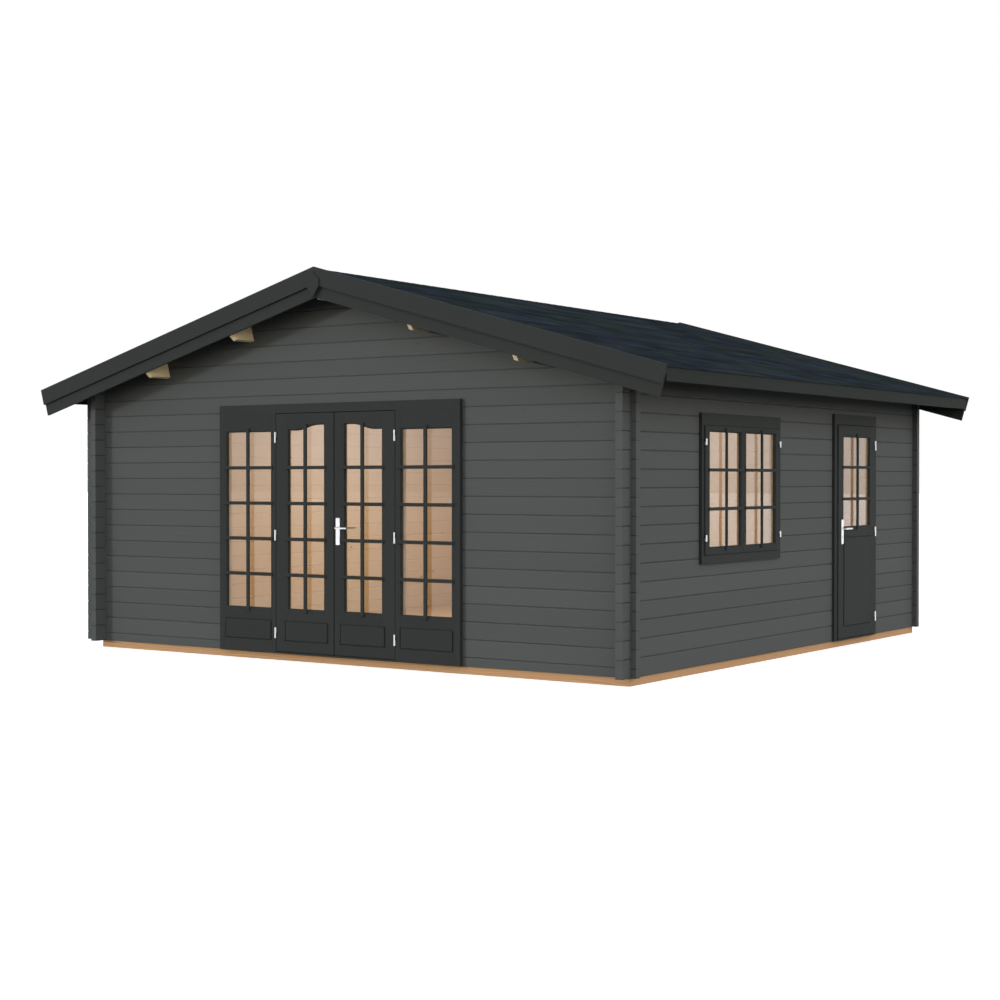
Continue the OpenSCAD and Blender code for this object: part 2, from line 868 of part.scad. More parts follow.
// Lower half of a hinge on a frame that reaches from the axis towards +X, with its pin
module lower_half(x, z, h, frame_y) {
  y = leaf_y - barrel_r - 1;
  high = z - knuckle_gap / 2;
  translate([x, y, z - h / 2]) cylinder(r = barrel_r, h = h / 2 - knuckle_gap / 2);
  block([x, leaf_y - flap_t, z - h / 2], [x + flap_w, frame_y, high]);
  translate([x, y, high - 1]) cylinder(r = pin_r, h = pin_l);
}

front_axis_x = leaf_out + leaf_gap / 2;
door_axis_x = door_jamb - leaf_gap / 2;
window_axis_x = window_jamb - sash_gap / 2;

module right_door_hinges() {
  color(metal) for (z = front_hinges) upper_half(front_axis_x, base_h + z, hinge_h);
}

module left_door_hinges() {
  mirror([1, 0, 0]) right_door_hinges();
}

module side_door_hinges() {
  color(metal) on_right_wall(door_y)
    for (z = door_hinges) upper_half(door_axis_x, base_h + z, hinge_h);
}

module fixed_hinges() {
  casing_y = -half_d - casing_t;
  color(metal) {
    both_sides() for (z = front_hinges) lower_half(front_axis_x, base_h + z, hinge_h, leaf_y);
    on_right_wall(door_y) for (z = door_hinges) lower_half(door_axis_x, base_h + z, hinge_h, casing_y);
    on_right_wall(-window_y) both_sides()
      for (z = window_hinges) {
        lower_half(window_axis_x, base_h + z, window_hinge_h, casing_y);
        upper_half(window_axis_x, base_h + z, window_hinge_h);
      }
  }
}

base_sides();
base_ends();
floor_joists();
floor();
front_wall_left();
front_wall_right();
front_gable();
back_wall();
left_wall();
right_wall_front();
right_wall_sill();
right_wall_middle();
right_wall_rear();
right_wall_top();
ridge_purlin();
left_purlins();
right_purlins();
roof_boards_left();
roof_boards_right();
roof_felt_left();
roof_felt_right();
eave_boards();
bargeboards_left();
bargeboards_right();
inner_barges_left();
inner_barges_right();
apex_plates();
frame_posts();
frame_heads();
thresholds();
casing_sides();
casing_heads();
side_lights();
window_sashes();
fixed_glass();
front_door_left();
front_door_right();
left_door_glass();
right_door_glass();
side_door();
side_door_glass();
front_handle_plates();
front_lever();
side_handle_plates();
side_lever();
fixed_hinges();
left_door_hinges();
right_door_hinges();
side_door_hinges();
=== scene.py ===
"""The log cabin's finish: joinery, boards, shingles, handles, materials, light and camera, in metres."""
import math
import random
from collections import namedtuple

import bpy
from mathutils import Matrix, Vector


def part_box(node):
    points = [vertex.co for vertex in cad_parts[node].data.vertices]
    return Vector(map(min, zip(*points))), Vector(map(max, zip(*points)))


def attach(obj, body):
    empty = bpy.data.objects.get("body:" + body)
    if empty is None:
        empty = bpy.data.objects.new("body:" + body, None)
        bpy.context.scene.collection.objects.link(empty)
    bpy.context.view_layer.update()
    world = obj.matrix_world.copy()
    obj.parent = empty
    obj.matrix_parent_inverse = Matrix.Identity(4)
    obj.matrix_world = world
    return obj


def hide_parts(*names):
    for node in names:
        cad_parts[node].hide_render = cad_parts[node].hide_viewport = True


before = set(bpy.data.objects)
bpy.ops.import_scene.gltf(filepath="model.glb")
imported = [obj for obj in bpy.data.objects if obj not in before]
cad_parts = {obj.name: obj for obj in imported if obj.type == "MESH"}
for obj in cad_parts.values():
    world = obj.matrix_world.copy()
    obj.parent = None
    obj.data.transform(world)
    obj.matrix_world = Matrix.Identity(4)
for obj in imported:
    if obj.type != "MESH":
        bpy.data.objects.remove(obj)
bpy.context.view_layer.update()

dice = random.Random(11)

# ---------------------------------------------------------------- sizes from the frame
left_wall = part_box("left_wall")
back_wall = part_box("back_wall")
leaf_lo, leaf_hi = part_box("front_door_right")
HALF_W = -left_wall[0].x
HALF_D = back_wall[1].y
LOG_T = left_wall[1].x - left_wall[0].x
WALL_Z = left_wall[0].z
D0 = leaf_lo.y + HALF_D          # outer face of the leaves, counted inwards from the wall's face
D1 = leaf_hi.y + HALF_D          # and their inner face
DG = (D0 + D1) / 2               # middle of the glass
LOG_H = 0.133                    # height of a log
NEAR_FACE = 0.05                 # glass this close behind a wall's face is in that wall
GRAIN_SPREAD = (40, 5, 5)        # how far apart the members lie in the wood they are cut from


# ---------------------------------------------------------------- mesh code
class Piece:
    """Collects the members of one piece. Each member keeps its own grain direction and tone."""

    def __init__(self, name):
        self.name = name
        self.verts, self.faces, self.grain, self.tone = [], [], [], []

    def add(self, verts, faces, grain):
        """Adds a closed mesh. grain gives each vertex's place with the grain along X."""
        start = len(self.verts)
        shift = Vector([dice.uniform(0, spread) for spread in GRAIN_SPREAD])
        tone = dice.random()
        self.verts += [tuple(v) for v in verts]
        self.faces += [[start + i for i in f] for f in faces]
        self.grain += [tuple(Vector(g) + shift) for g in grain]
        self.tone += [tone] * len(verts)

    def build(self, body, slot, material, *nodes, smooth=False):
        """Makes the object, which rides on the body and stands for the CAD nodes."""
        mesh = bpy.data.meshes.new(self.name)
        mesh.from_pydata(self.verts, [], self.faces)
        mesh.validate()
        grain = mesh.attributes.new("grain", "FLOAT_VECTOR", "POINT")
        grain.data.foreach_set("vector", [c for g in self.grain for c in g])
        tone = mesh.attributes.new("tone", "FLOAT", "POINT")
        tone.data.foreach_set("value", self.tone)
        if smooth:
            mesh.shade_smooth()
        mesh.materials.append(material)
        obj = bpy.data.objects.new(self.name, mesh)
        bpy.context.scene.collection.objects.link(obj)
        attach(obj, body)
        if nodes:
            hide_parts(*nodes)


class Wall:
    """A wall's own coordinates: u to the right of a middle, d behind its outer face, and z."""

    def __init__(self, on_front, middle=0.0):
        self.on_front = on_front
        self.middle = middle

    def place(self, u, d, z):
        if self.on_front:
            return (self.middle + u, d - HALF_D, z)
        return (HALF_W - d, self.middle + u, z)

    def u(self, point):
        return (point.x if self.on_front else point.y) - self.middle

    def d(self, point):
        return point.y + HALF_D if self.on_front else HALF_W - point.x

    def box(self, node):
        """u0, z0, u1, z1 of a node."""
        lo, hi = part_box(node)
        return self.u(lo), lo.z, self.u(hi), hi.z

    def glass(self, node, hand=0):
        """u0, z0, u1, z1 of a node's glass, or of its panes in this wall on one hand of the middle."""
        points = [v.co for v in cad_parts[node].data.vertices]
        if hand:
            points = [p for p in points if self.d(p) < NEAR_FACE and self.u(p) * hand > 0]
        us = [self.u(p) for p in points]
        zs = [p.z for p in points]
        return min(us), min(zs), max(us), max(zs)

    def inner_edge(self, node):
        """The smallest u of a node on the right of the middle."""
        us = [self.u(v.co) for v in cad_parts[node].data.vertices]
        return min(u for u in us if u > 0)


def inset(outline, d):
    """A closed outline moved inwards by d, with mitred corners. It runs anticlockwise."""
    n, moved = len(outline), []
    for i, (x, y) in enumerate(outline):
        ax, ay = outline[i - 1]
        bx, by = outline[(i + 1) % n]
        e0, e1 = Vector((x - ax, y - ay)).normalized(), Vector((bx - x, by - y)).normalized()
        n0, n1 = Vector((-e0.y, e0.x)), Vector((-e1.y, e1.x))
        mitre = (n0 + n1) / (1 + n0.dot(n1))
        moved.append((x + d * mitre.x, y + d * mitre.y))
    return moved


def rectangle(u0, z0, u1, z1):
    return [(u0, z0), (u1, z0), (u1, z1), (u0, z1)]


def rounded(u0, z0, u1, z1, r, steps=6):
    """A rectangle with round corners."""
    corners = [(u1 - r, z0 + r, -90), (u1 - r, z1 - r, 0), (u0 + r, z1 - r, 90), (u0 + r, z0 + r, 180)]
    outline = []
    for u, z, start in corners:
        for i in range(steps + 1):
            turn = math.radians(start + 90 * i / steps)
            outline.append((u + r * math.cos(turn), z + r * math.sin(turn)))
    return outline


def levels(wall, outline, steps, along):
    """The outline at each step of inset and depth, and the same with the grain along X."""
    verts, grain = [], []
    for inwards, depth in steps:
        for u, z in inset(outline, inwards) if inwards else outline:
            verts.append(wall.place(u, depth, z))
            grain.append((z, u, depth) if along == "z" else (u, z, depth))
    return verts, grain


def band(a, b, n):
    """The faces between two closed rows of n vertices, which start at a and b."""
    return [[a + i, a + (i + 1) % n, b + (i + 1) % n, b + i] for i in range(n)]


def loft(piece, wall, outline, steps, along="z"):
    """A closed solid: the outline, inset and set at each depth in turn. Steps run from the inside out."""
    n, last = len(outline), len(steps) - 1
    verts, grain = levels(wall, outline, steps, along)
    faces = [list(range(n - 1, -1, -1))]
    for level in range(last):
        faces += band(level * n, (level + 1) * n, n)
    faces.append(list(range(last * n, (last + 1) * n)))
    piece.add(verts, faces, grain)


def moulding(piece, wall, outline, profile):
    """A closed moulding round the inside of an outline. The profile is pairs of inset and depth."""
    n, m = len(outline), len(profile)
    verts, grain = levels(wall, outline, profile, "z")
    faces = []
    for j in range(m):
        faces += band(j * n, (j + 1) % m * n, n)
    piece.add(verts, faces, grain)


def prism(piece, start, end, grain_start, grain_end):
    """A closed prism between two outlines with the same number of points."""
    n = len(start)
    faces = [list(range(n - 1, -1, -1)), list(range(n, 2 * n))]
    piece.add(list(start) + list(end), faces + band(0, n, n), list(grain_start) + list(grain_end))


def tube(piece, path, radii, sides=20):
    """A closed round bar along a path, with a radius at each point."""
    verts, faces = [], []
    up = Vector((0, 0, 1))
    last = len(path) - 1
    for i, point in enumerate(path):
        ahead = (path[min(i + 1, last)] - path[max(i - 1, 0)]).normalized()
        side = ahead.cross(up).normalized()
        other = side.cross(ahead)
        for k in range(sides):
            t = 2 * math.pi * k / sides
            verts.append(point + radii[i] * (math.cos(t) * side + math.sin(t) * other))
    for i in range(last):
        a, b = i * sides, (i + 1) * sides
        faces += [[a + k, b + k, b + (k + 1) % sides, a + (k + 1) % sides] for k in range(sides)]
    faces.append(list(range(sides)))
    faces.append(list(range(len(path) * sides - 1, last * sides - 1, -1)))
    piece.add(verts, faces, verts)


# ---------------------------------------------------------------- node trees
class Nodes:
    """Short calls that add nodes to a tree. A value may be a number, a colour or another node's socket."""

    def __init__(self, tree):
        self.tree = tree
        tree.nodes.clear()

    def put(self, socket, value):
        if isinstance(value, bpy.types.NodeSocket):
            self.tree.links.new(value, socket)
        else:
            socket.default_value = value

    def node(self, kind, **values):
        """Adds a node. Each value is a property of it, or an input whose name has _ for its spaces."""
        made = self.tree.nodes.new(kind)
        for key, value in values.items():
            if hasattr(made, key):
                setattr(made, key, value)
            else:
                self.put(made.inputs[key.replace("_", " ")], value)
        return made

    def math(self, operation, *values, clamp=False):
        made = self.node("ShaderNodeMath", operation=operation, use_clamp=clamp)
        for i, value in enumerate(values):
            self.put(made.inputs[i], value)
        return made.outputs[0]

    def mix(self, factor, a, b, blend="MIX"):
        made = self.node("ShaderNodeMix", data_type="RGBA", blend_type=blend)
        self.put(made.inputs["Factor"], factor)
        self.put(made.inputs["A"], a)
        self.put(made.inputs["B"], b)
        return made.outputs["Result"]

    def scaled(self, vector, factors):
        made = self.node("ShaderNodeVectorMath", operation="MULTIPLY")
        self.put(made.inputs[0], vector)
        self.put(made.inputs[1], factors)
        return made.outputs[0]

    def joined(self, *values):
        return self.node("ShaderNodeCombineXYZ", **dict(zip("XYZ", values))).outputs[0]

    def noise(self, vector, detail=2.0, rough=0.5):
        made = self.node("ShaderNodeTexNoise", Vector=vector, Scale=1.0, Detail=detail, Roughness=rough)
        return made.outputs[0]

    def smooth(self, value, low, high):
        """0 under low and 1 over high, with a soft step between; low may be the larger."""
        made = self.node("ShaderNodeMapRange", interpolation_type="SMOOTHSTEP", Value=value)
        self.put(made.inputs["From Min"], low)
        self.put(made.inputs["From Max"], high)
        return made.outputs["Result"]

    def object_place(self):
        return self.node("ShaderNodeTexCoord").outputs["Object"]

    def attribute(self, name, output):
        return self.node("ShaderNodeAttribute", attribute_name=name).outputs[output]


class Shader(Nodes):
    """A material with a Principled shader. The values are its inputs."""

    def __init__(self, name, **values):
        self.material = bpy.data.materials.new(name)
        self.material.use_nodes = True
        super().__init__(self.material.node_tree)
        self.bsdf = self.node("ShaderNodeBsdfPrincipled", **values)
        self.node("ShaderNodeOutputMaterial", Surface=self.bsdf.outputs[0])

    def set(self, name, value):
        self.put(self.bsdf.inputs[name], value)

    def bump(self, height, strength, distance):
        made = self.node("ShaderNodeBump", Height=height, Strength=strength, Distance=distance)
        self.set("Normal", made.outputs["Normal"])


def colour(r, g, b):
    """An sRGB colour, 0 to 255, as Blender's linear values."""
    def line(c):
        c /= 255
        return c / 12.92 if c <= 0.04045 else ((c + 0.055) / 1.055) ** 2.4
    return (line(r), line(g), line(b), 1.0)


# ---------------------------------------------------------------- wood
PINE = ((222, 198, 160), (204, 172, 128))        # the pale and the dark of the growth rings
FLOOR_PINE = ((206, 176, 136), (188, 158, 116))
# pine of the purlins, written paler than bare pine as painted light for the dim space under the roof
PURLIN_LIT_PINE = ((240, 223, 184), (222, 203, 162))
BEAM_PINE = ((196, 158, 120), (160, 122, 86))    # the treated timber of the base
PAINTED_REFLECTION_PINE = (222, 209, 200)      # painted reflection: the inner faces of the wall logs, paler and less yellow higher up
REFLECTION_FROM, REFLECTION_TO = 0.7, 1.9    # heights between which they turn paler
REFLECTION_SHARE = 0.8
KNOT_BROWN, HEART_BROWN = (146, 92, 52), (96, 55, 30)
LOG_GREY = (84, 87, 87)
JOINERY_GREY = (54, 57, 56)
# painted shade: the eave boards' grey, darker than the other joinery's
EAVE_SHADE_GREY = (45, 48, 46)
JOINT_SHADE_GREY = (34, 36, 36)        # painted shade in the joints of the logs
JOINT_CORE, JOINT_EDGE = 0.012, 0.04     # its full and its outer half-width, as parts of a log's height
WOOD_SHINE = 0.02                # specular level of bare and stained wood
LOG_SHIFT, LOG_DRIFT = 31.0, 0.7 # how far apart the logs lie in that wood, along and across it
KNOT_CELLS = 3.1                 # cells along a metre, of which some hold a knot
CELL_STRETCH = (1, 1.6, 1.6)     # they are shorter across the grain and into it
KNOT_SHARE = 0.55                # how many do
KNOT_R, HEART_R = 0.075, 0.045   # outer edges of a knot and of its heart, in cells
BEND_R, BEND_CORE = 0.30, 0.02   # the growth rings bend round a knot between these
RINGS_ACROSS, RINGS_DEEP = 62.0, 35.0    # growth rings in a metre, across a board and into it
RING_WANDER = 6.0                # how many ring widths they wander
WANDER_SCALE = (0.9, 7, 7)       # waves of that in a metre, along the grain, across it and into it
FIBRE_SCALE = (9, 420, 420)      # and fibres
STAINED_RELIEF, BARE_RELIEF = 0.0006, 0.0005     # height of the fibres
PAINT_DEPTH = 0.030              # the frames are painted to this depth behind the wall's face
TONE_PATCHES = 1.3               # patches of one tone in a metre, on stained CAD nodes
BARE_TONE = 0.3                  # tone of the bare CAD nodes

Pattern = namedtuple("Pattern", "rings fibres knot heart")   # each from 0 to 1


def wood(s, grain):
    """The pattern of a board from its grain coordinates."""
    parts = s.node("ShaderNodeSeparateXYZ", Vector=grain)
    across, deep = parts.outputs[1], parts.outputs[2]
    cells = s.node("ShaderNodeTexVoronoi", Vector=s.scaled(grain, CELL_STRETCH), Scale=KNOT_CELLS)
    cell_value = s.node("ShaderNodeSeparateColor", Color=cells.outputs["Color"]).outputs[0]
    chosen = s.math("GREATER_THAN", cell_value, 1 - KNOT_SHARE)
    distance = cells.outputs["Distance"]
    knot = s.math("MULTIPLY", s.smooth(distance, KNOT_R, HEART_R), chosen)
    heart = s.math("MULTIPLY", s.smooth(distance, HEART_R, 0.0), chosen)
    bend = s.math("MULTIPLY", s.smooth(distance, BEND_R, BEND_CORE), s.math("MULTIPLY", chosen, 1.1))
    waves = s.noise(s.scaled(grain, WANDER_SCALE))
    turn = s.math("ADD", s.math("MULTIPLY", across, RINGS_ACROSS), s.math("MULTIPLY", waves, RING_WANDER))
    turn = s.math("ADD", s.math("ADD", turn, s.math("MULTIPLY", deep, RINGS_DEEP)), bend)
    rings = s.math("MULTIPLY_ADD", s.math("SINE", s.math("MULTIPLY", turn, math.tau)), 0.5, 0.5)
    fibres = s.noise(s.scaled(grain, FIBRE_SCALE), 3.0, 0.6)
    return Pattern(rings, fibres, knot, heart)


def pine_colour(s, pattern, tone, shades):
    """Bare pine. A high tone makes a board redder."""
    light, dark = shades
    redder = (dark[0] + 8, dark[1] + 2, dark[2] - 8)
    base = s.mix(s.math("MULTIPLY", pattern.rings, 0.55), colour(*light), colour(*dark))
    base = s.mix(s.math("MULTIPLY", pattern.fibres, 0.16), base, colour(*dark))
    base = s.mix(s.math("MULTIPLY", tone, 0.22), base, colour(*redder))
    base = s.mix(s.math("MULTIPLY", pattern.knot, 0.75), base, colour(*KNOT_BROWN))
    return s.mix(s.math("MULTIPLY", pattern.heart, 0.6), base, colour(*HEART_BROWN))


def grey_colour(s, pattern, tone, grey):
    """Grey stain, through which the wood shows faintly. A high tone makes a board darker."""
    def shade(k):
        return colour(*[c * k for c in grey])
    base = s.mix(s.math("MULTIPLY", pattern.rings, 0.5), shade(1.02), shade(0.955))
    base = s.mix(s.math("MULTIPLY", pattern.fibres, 0.35), base, shade(0.93))
    base = s.mix(tone, base, s.mix(1.0, base, (0.93, 0.935, 0.94, 1.0), "MULTIPLY"))
    return s.mix(s.math("MULTIPLY", pattern.knot, 0.35), base, shade(0.88))


def stained_finish(s, inside, pattern, tone, grey, pale=0.0, joint=0.0):
    """Grey stain outside, and bare pine where inside is 1. pale is the share of painted reflection on the
    pine, and joint the share of painted shade in the joints.
    """
    # painted reflection: the bare pine turns paler higher up by the share pale
    pine = s.mix(pale, pine_colour(s, pattern, tone, PINE), colour(*PAINTED_REFLECTION_PINE))
    # painted shade: the stain turns darker in the joints between the logs
    stain = s.mix(joint, grey_colour(s, pattern, tone, grey), colour(*JOINT_SHADE_GREY))
    s.set("Base Color", s.mix(inside, stain, pine))
    s.set("Roughness", s.math("MULTIPLY_ADD", pattern.fibres, 0.16, 0.48))
    height = s.math("MULTIPLY_ADD", pattern.rings, 0.45, s.math("MULTIPLY", pattern.fibres, 0.55))
    s.bump(s.math("SUBTRACT", height, s.math("MULTIPLY", pattern.knot, 0.3)), 0.35, STAINED_RELIEF)
    return s.material


def bare_finish(s, pattern, tone, shades):
    s.set("Base Color", pine_colour(s, pattern, tone, shades))
    s.set("Roughness", s.math("MULTIPLY_ADD", pattern.fibres, 0.16, 0.5))
    s.bump(pattern.fibres, 0.25, BARE_RELIEF)
    return s.material


def log_material(name, axis, phase, joint_shade_share):
    """Stained logs along an axis, bare pine on the faces inside the room, painted paler higher up as painted
    reflection. Each log has its own tone.

    The lowest course lacks phase of its height, and the last argument is how much painted shade darkens the
    joints.
    """
    s = Shader(name, Specular_IOR_Level=WOOD_SHINE)
    parts = s.node("ShaderNodeSeparateXYZ", Vector=s.object_place())
    x, y, z = parts.outputs[0], parts.outputs[1], parts.outputs[2]
    course = s.math("MULTIPLY_ADD", z, 1 / LOG_H, phase - WALL_Z / LOG_H)
    noise = s.node("ShaderNodeTexWhiteNoise", noise_dimensions="1D", W=s.math("FLOOR", course))
    log_value = noise.outputs["Value"]
    # painted shade in the joints between the logs
    off_joint = s.math("ABSOLUTE", s.math("SUBTRACT", s.math("FRACT", s.math("ADD", course, 0.5)), 0.5))
    joint = s.math("MULTIPLY", s.smooth(off_joint, JOINT_EDGE, JOINT_CORE), joint_shade_share)
    # painted reflection: the bare pine turns paler higher up the wall
    pale = s.math("MULTIPLY", s.smooth(z, REFLECTION_FROM, REFLECTION_TO), REFLECTION_SHARE)
    along, deep = (x, y) if axis == "x" else (y, x)
    along = s.math("ADD", along, s.math("MULTIPLY", log_value, LOG_SHIFT))
    grain = s.joined(along, s.math("ADD", z, s.math("MULTIPLY", log_value, LOG_DRIFT)), deep)
    in_x = s.math("LESS_THAN", s.math("ABSOLUTE", x), HALF_W - LOG_T / 2)
    in_y = s.math("LESS_THAN", s.math("ABSOLUTE", y), HALF_D - LOG_T / 2)
    inside = s.math("MULTIPLY", in_x, in_y)
    return stained_finish(s, inside, wood(s, grain), log_value, LOG_GREY, pale, joint)


def node_pattern(s, axis):
    """The pattern of a CAD node whose grain runs along an axis."""
    parts = s.node("ShaderNodeSeparateXYZ", Vector=s.object_place())
    order = {"x": (0, 2, 1), "y": (1, 2, 0), "z": (2, 0, 1)}[axis]
    return wood(s, s.joined(*[parts.outputs[i] for i in order]))


def node_stain(name, axis, grey, inside_test=None):
    """Stained wood on a CAD node, bare where the inside test says so."""
    s = Shader(name, Specular_IOR_Level=WOOD_SHINE)
    patch = s.node("ShaderNodeVectorMath", operation="FLOOR")
    s.put(patch.inputs[0], s.scaled(s.object_place(), (TONE_PATCHES, TONE_PATCHES, 0.0)))
    tone = s.node("ShaderNodeTexWhiteNoise", noise_dimensions="3D", Vector=patch.outputs[0]).outputs["Value"]
    inside = inside_test(s) if inside_test else 0.0
    return stained_finish(s, inside, node_pattern(s, axis), tone, grey)


def node_pine(name, axis, shades):
    """Bare wood on a CAD node."""
    s = Shader(name, Specular_IOR_Level=WOOD_SHINE)
    return bare_finish(s, node_pattern(s, axis), BARE_TONE, shades)


def board_pine(name, shades):
    """Bare boards, with each member's own grain and tone."""
    s = Shader(name, Specular_IOR_Level=WOOD_SHINE)
    return bare_finish(s, wood(s, s.attribute("grain", "Vector")), s.attribute("tone", "Fac"), shades)


def joinery_material(name, inside_test):
    """Painted outside and bare pine inside, with each member's own grain and tone."""
    s = Shader(name, Specular_IOR_Level=WOOD_SHINE)
    pattern = wood(s, s.attribute("grain", "Vector"))
    return stained_finish(s, inside_test(s), pattern, s.attribute("tone", "Fac"), JOINERY_GREY)


def front_inside(s):
    """1 on the inner half of the front leaves' thickness."""
    y = s.node("ShaderNodeSeparateXYZ", Vector=s.object_place()).outputs[1]
    return s.math("GREATER_THAN", y, (leaf_lo.y + leaf_hi.y) / 2)


def right_inside(s):
    """1 on the inner half of the side door's thickness, which is the sashes' too."""
    lo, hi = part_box("side_door")
    x = s.node("ShaderNodeSeparateXYZ", Vector=s.object_place()).outputs[0]
    return s.math("LESS_THAN", x, (lo.x + hi.x) / 2)


def room_inside(s):
    """1 on the parts of the frames that lie behind the paint, on both walls."""
    parts = s.node("ShaderNodeSeparateXYZ", Vector=s.object_place())
    behind_front = s.math("GREATER_THAN", parts.outputs[1], PAINT_DEPTH - HALF_D)
    return s.math("MULTIPLY", behind_front, s.math("LESS_THAN", parts.outputs[0], HALF_W - PAINT_DEPTH))


# ---------------------------------------------------------------- steel, glass and shingles
STEEL = (0.80, 0.80, 0.81, 1.0)
SHINGLE_DARK = ((31, 38, 38), (32, 36, 46))      # green-grey and navy, where the grit is darkest
SHINGLE_PALE = ((52, 61, 59), (52, 59, 72))      # and where it is palest
SPECK_DARK = (24, 28, 30)
GRIT = 650.0                     # grains of grit in a metre
GRIT_RELIEF = 0.0006             # and their height
CLOUD_SCALE = (4.0, 1.2, 4.0)    # mottles in a metre, longer along the ridge
HUE_SPREAD = 7.3                 # makes a tab's hue change apart from its tone
BRUSH_SCALE = (900, 900, 60)     # brush marks in a metre
BRUSH_RELIEF = 0.0002
FRONT_STRIP = 0.1                # what lies this close to the front face isn't on the right wall
FACE_PLAY = 0.0002               # how far the paint reaches past the leaves' face


def steel_material(name, painted=False):
    """Brushed steel, or painted like the casings where it lies behind the leaves' face on the right wall."""
    s = Shader(name, Metallic=1.0, Base_Color=STEEL)
    place = s.object_place()
    if painted:
        parts = s.node("ShaderNodeSeparateXYZ", Vector=place)
        behind = s.math("LESS_THAN", parts.outputs[0], HALF_W - D0 + FACE_PLAY)
        on_right = s.math("MULTIPLY", behind, s.math("GREATER_THAN", parts.outputs[1], FRONT_STRIP - HALF_D))
        s.set("Base Color", s.mix(on_right, STEEL, colour(*JOINERY_GREY)))
        s.set("Metallic", s.math("SUBTRACT", 1.0, on_right))
    brushed = s.noise(s.scaled(place, BRUSH_SCALE))
    s.set("Roughness", s.math("MULTIPLY_ADD", brushed, 0.16, 0.24))
    s.bump(brushed, 0.08, BRUSH_RELIEF)
    return s.material


def glass_material():
    tint = (0.96, 0.98, 0.975, 1.0)
    return Shader("window_glass", Base_Color=tint, Roughness=0.0, IOR=1.45, Transmission_Weight=1.0).material


def shingle_material():
    """Bitumen shingles: each tab has its own shade of green-grey or navy mineral grit."""
    s = Shader("shingles", Specular_IOR_Level=0.0)
    place = s.object_place()
    tone = s.attribute("tone", "Fac")
    grit = s.node("ShaderNodeTexVoronoi", Vector=place, Scale=GRIT)
    speck = s.node("ShaderNodeSeparateColor", Color=grit.outputs["Color"]).outputs[0]
    cloud = s.noise(s.scaled(place, CLOUD_SCALE), 3.0, 0.6)
    shade = s.math("MULTIPLY_ADD", cloud, 1.3, s.math("MULTIPLY_ADD", tone, 0.55, -0.45), clamp=True)
    tab_value = s.math("FRACT", s.math("MULTIPLY", tone, HUE_SPREAD))
    hue = s.math("MULTIPLY", s.smooth(tab_value, 0.3, 0.7), 0.8)
    dark, pale = [s.mix(hue, colour(*green), colour(*navy)) for green, navy in (SHINGLE_DARK, SHINGLE_PALE)]
    base = s.mix(shade, dark, pale)
    s.set("Base Color", s.mix(s.math("MULTIPLY", speck, 0.3), base, colour(*SPECK_DARK)))
    s.set("Roughness", s.math("MULTIPLY_ADD", speck, 0.15, 0.8))
    s.bump(speck, 0.3, GRIT_RELIEF)
    return s.material


# ---------------------------------------------------------------- finishes of the CAD nodes
deck_pine = board_pine("pine_boards", PINE)
floor_pine = board_pine("pine_floor", FLOOR_PINE)
front_joinery = joinery_material("front_joinery", front_inside)
right_joinery = joinery_material("right_joinery", right_inside)
steel = steel_material("satin_steel")
shingle = shingle_material()

CAD_FINISH = [
    # the last number of each log material is how much painted shade darkens its joints
    (log_material("logs_across", "x", 0.5, 0.25),
     ["front_wall_left", "front_wall_right", "front_gable", "back_wall"]),
    (log_material("logs_along", "y", 0.0, 0.45),
     ["left_wall", "right_wall_front", "right_wall_sill", "right_wall_middle", "right_wall_rear",
      "right_wall_top"]),
    (node_stain("painted_across", "x", JOINERY_GREY),
     ["bargeboards_left", "bargeboards_right", "inner_barges_left", "inner_barges_right", "casing_heads"]),
    # painted shade: the eave boards get a darker grey than the other joinery
    (node_stain("painted_along", "y", EAVE_SHADE_GREY), ["eave_boards"]),
    (node_stain("painted_upright", "z", JOINERY_GREY), ["apex_plates", "casing_sides"]),
    (node_stain("frame_across", "x", JOINERY_GREY, room_inside), ["frame_heads", "thresholds"]),
    (node_stain("frame_upright", "z", JOINERY_GREY, room_inside), ["frame_posts"]),
    # the purlins' pine is paler than bare pine, as painted light under the roof
    (node_pine("pine_purlins", "y", PURLIN_LIT_PINE), ["ridge_purlin", "left_purlins", "right_purlins"]),
    (node_pine("treated_beams", "x", BEAM_PINE), ["base_sides", "base_ends", "floor_joists"]),
    (steel_material("hinge_steel", painted=True), ["fixed_hinges"]),
    (steel, ["left_door_hinges", "right_door_hinges", "side_door_hinges"]),
    (glass_material(), ["fixed_glass", "left_door_glass", "right_door_glass", "side_door_glass"]),
]
for finish, names in CAD_FINISH:
    for node_name in names:
        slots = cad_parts[node_name].data.materials
        slots.clear()
        slots.append(finish)


# ---------------------------------------------------------------- roof
ROOF_PITCH = math.radians(15.6)
COS, SIN, TAN = math.cos(ROOF_PITCH), math.sin(ROOF_PITCH), math.tan(ROOF_PITCH)
DECK_BOARD = 0.0955              # width of a roof board
BOARD_CHAMFER = 0.004            # V-joint between boards
SHINGLE_ROW = 0.143              # part of a row of shingles that shows
SHINGLE_LAP = 0.020              # part of a row that lies under the next one
SHINGLE_TAB = 0.333              # width of one tab
TAB_SLOT = 0.004                 # slot between two tabs
TAB_PLAY = 0.020                 # the rows are laid up to this much off
TAB_LEAST = 0.010                # narrower ends of tabs are left out
SHINGLE_T = 0.0015               # thickness of a shingle
UNDERLAY_T = 0.001               # thickness of the sheet below them
UNDERLAY_SHORT = 0.002           # and how far it ends above their lower edge
CAP_HALF = 0.125                 # width of the ridge caps on each slope


def slope(node):
    """A slope's box, its reach sideways, its thickness, and its underside's height at the ridge."""
    lo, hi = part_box(node)
    reach = max(abs(lo.x), abs(hi.x))
    thick = (hi.z - lo.z - reach * TAN) * COS
    return lo, hi, reach, thick, hi.z - thick / COS


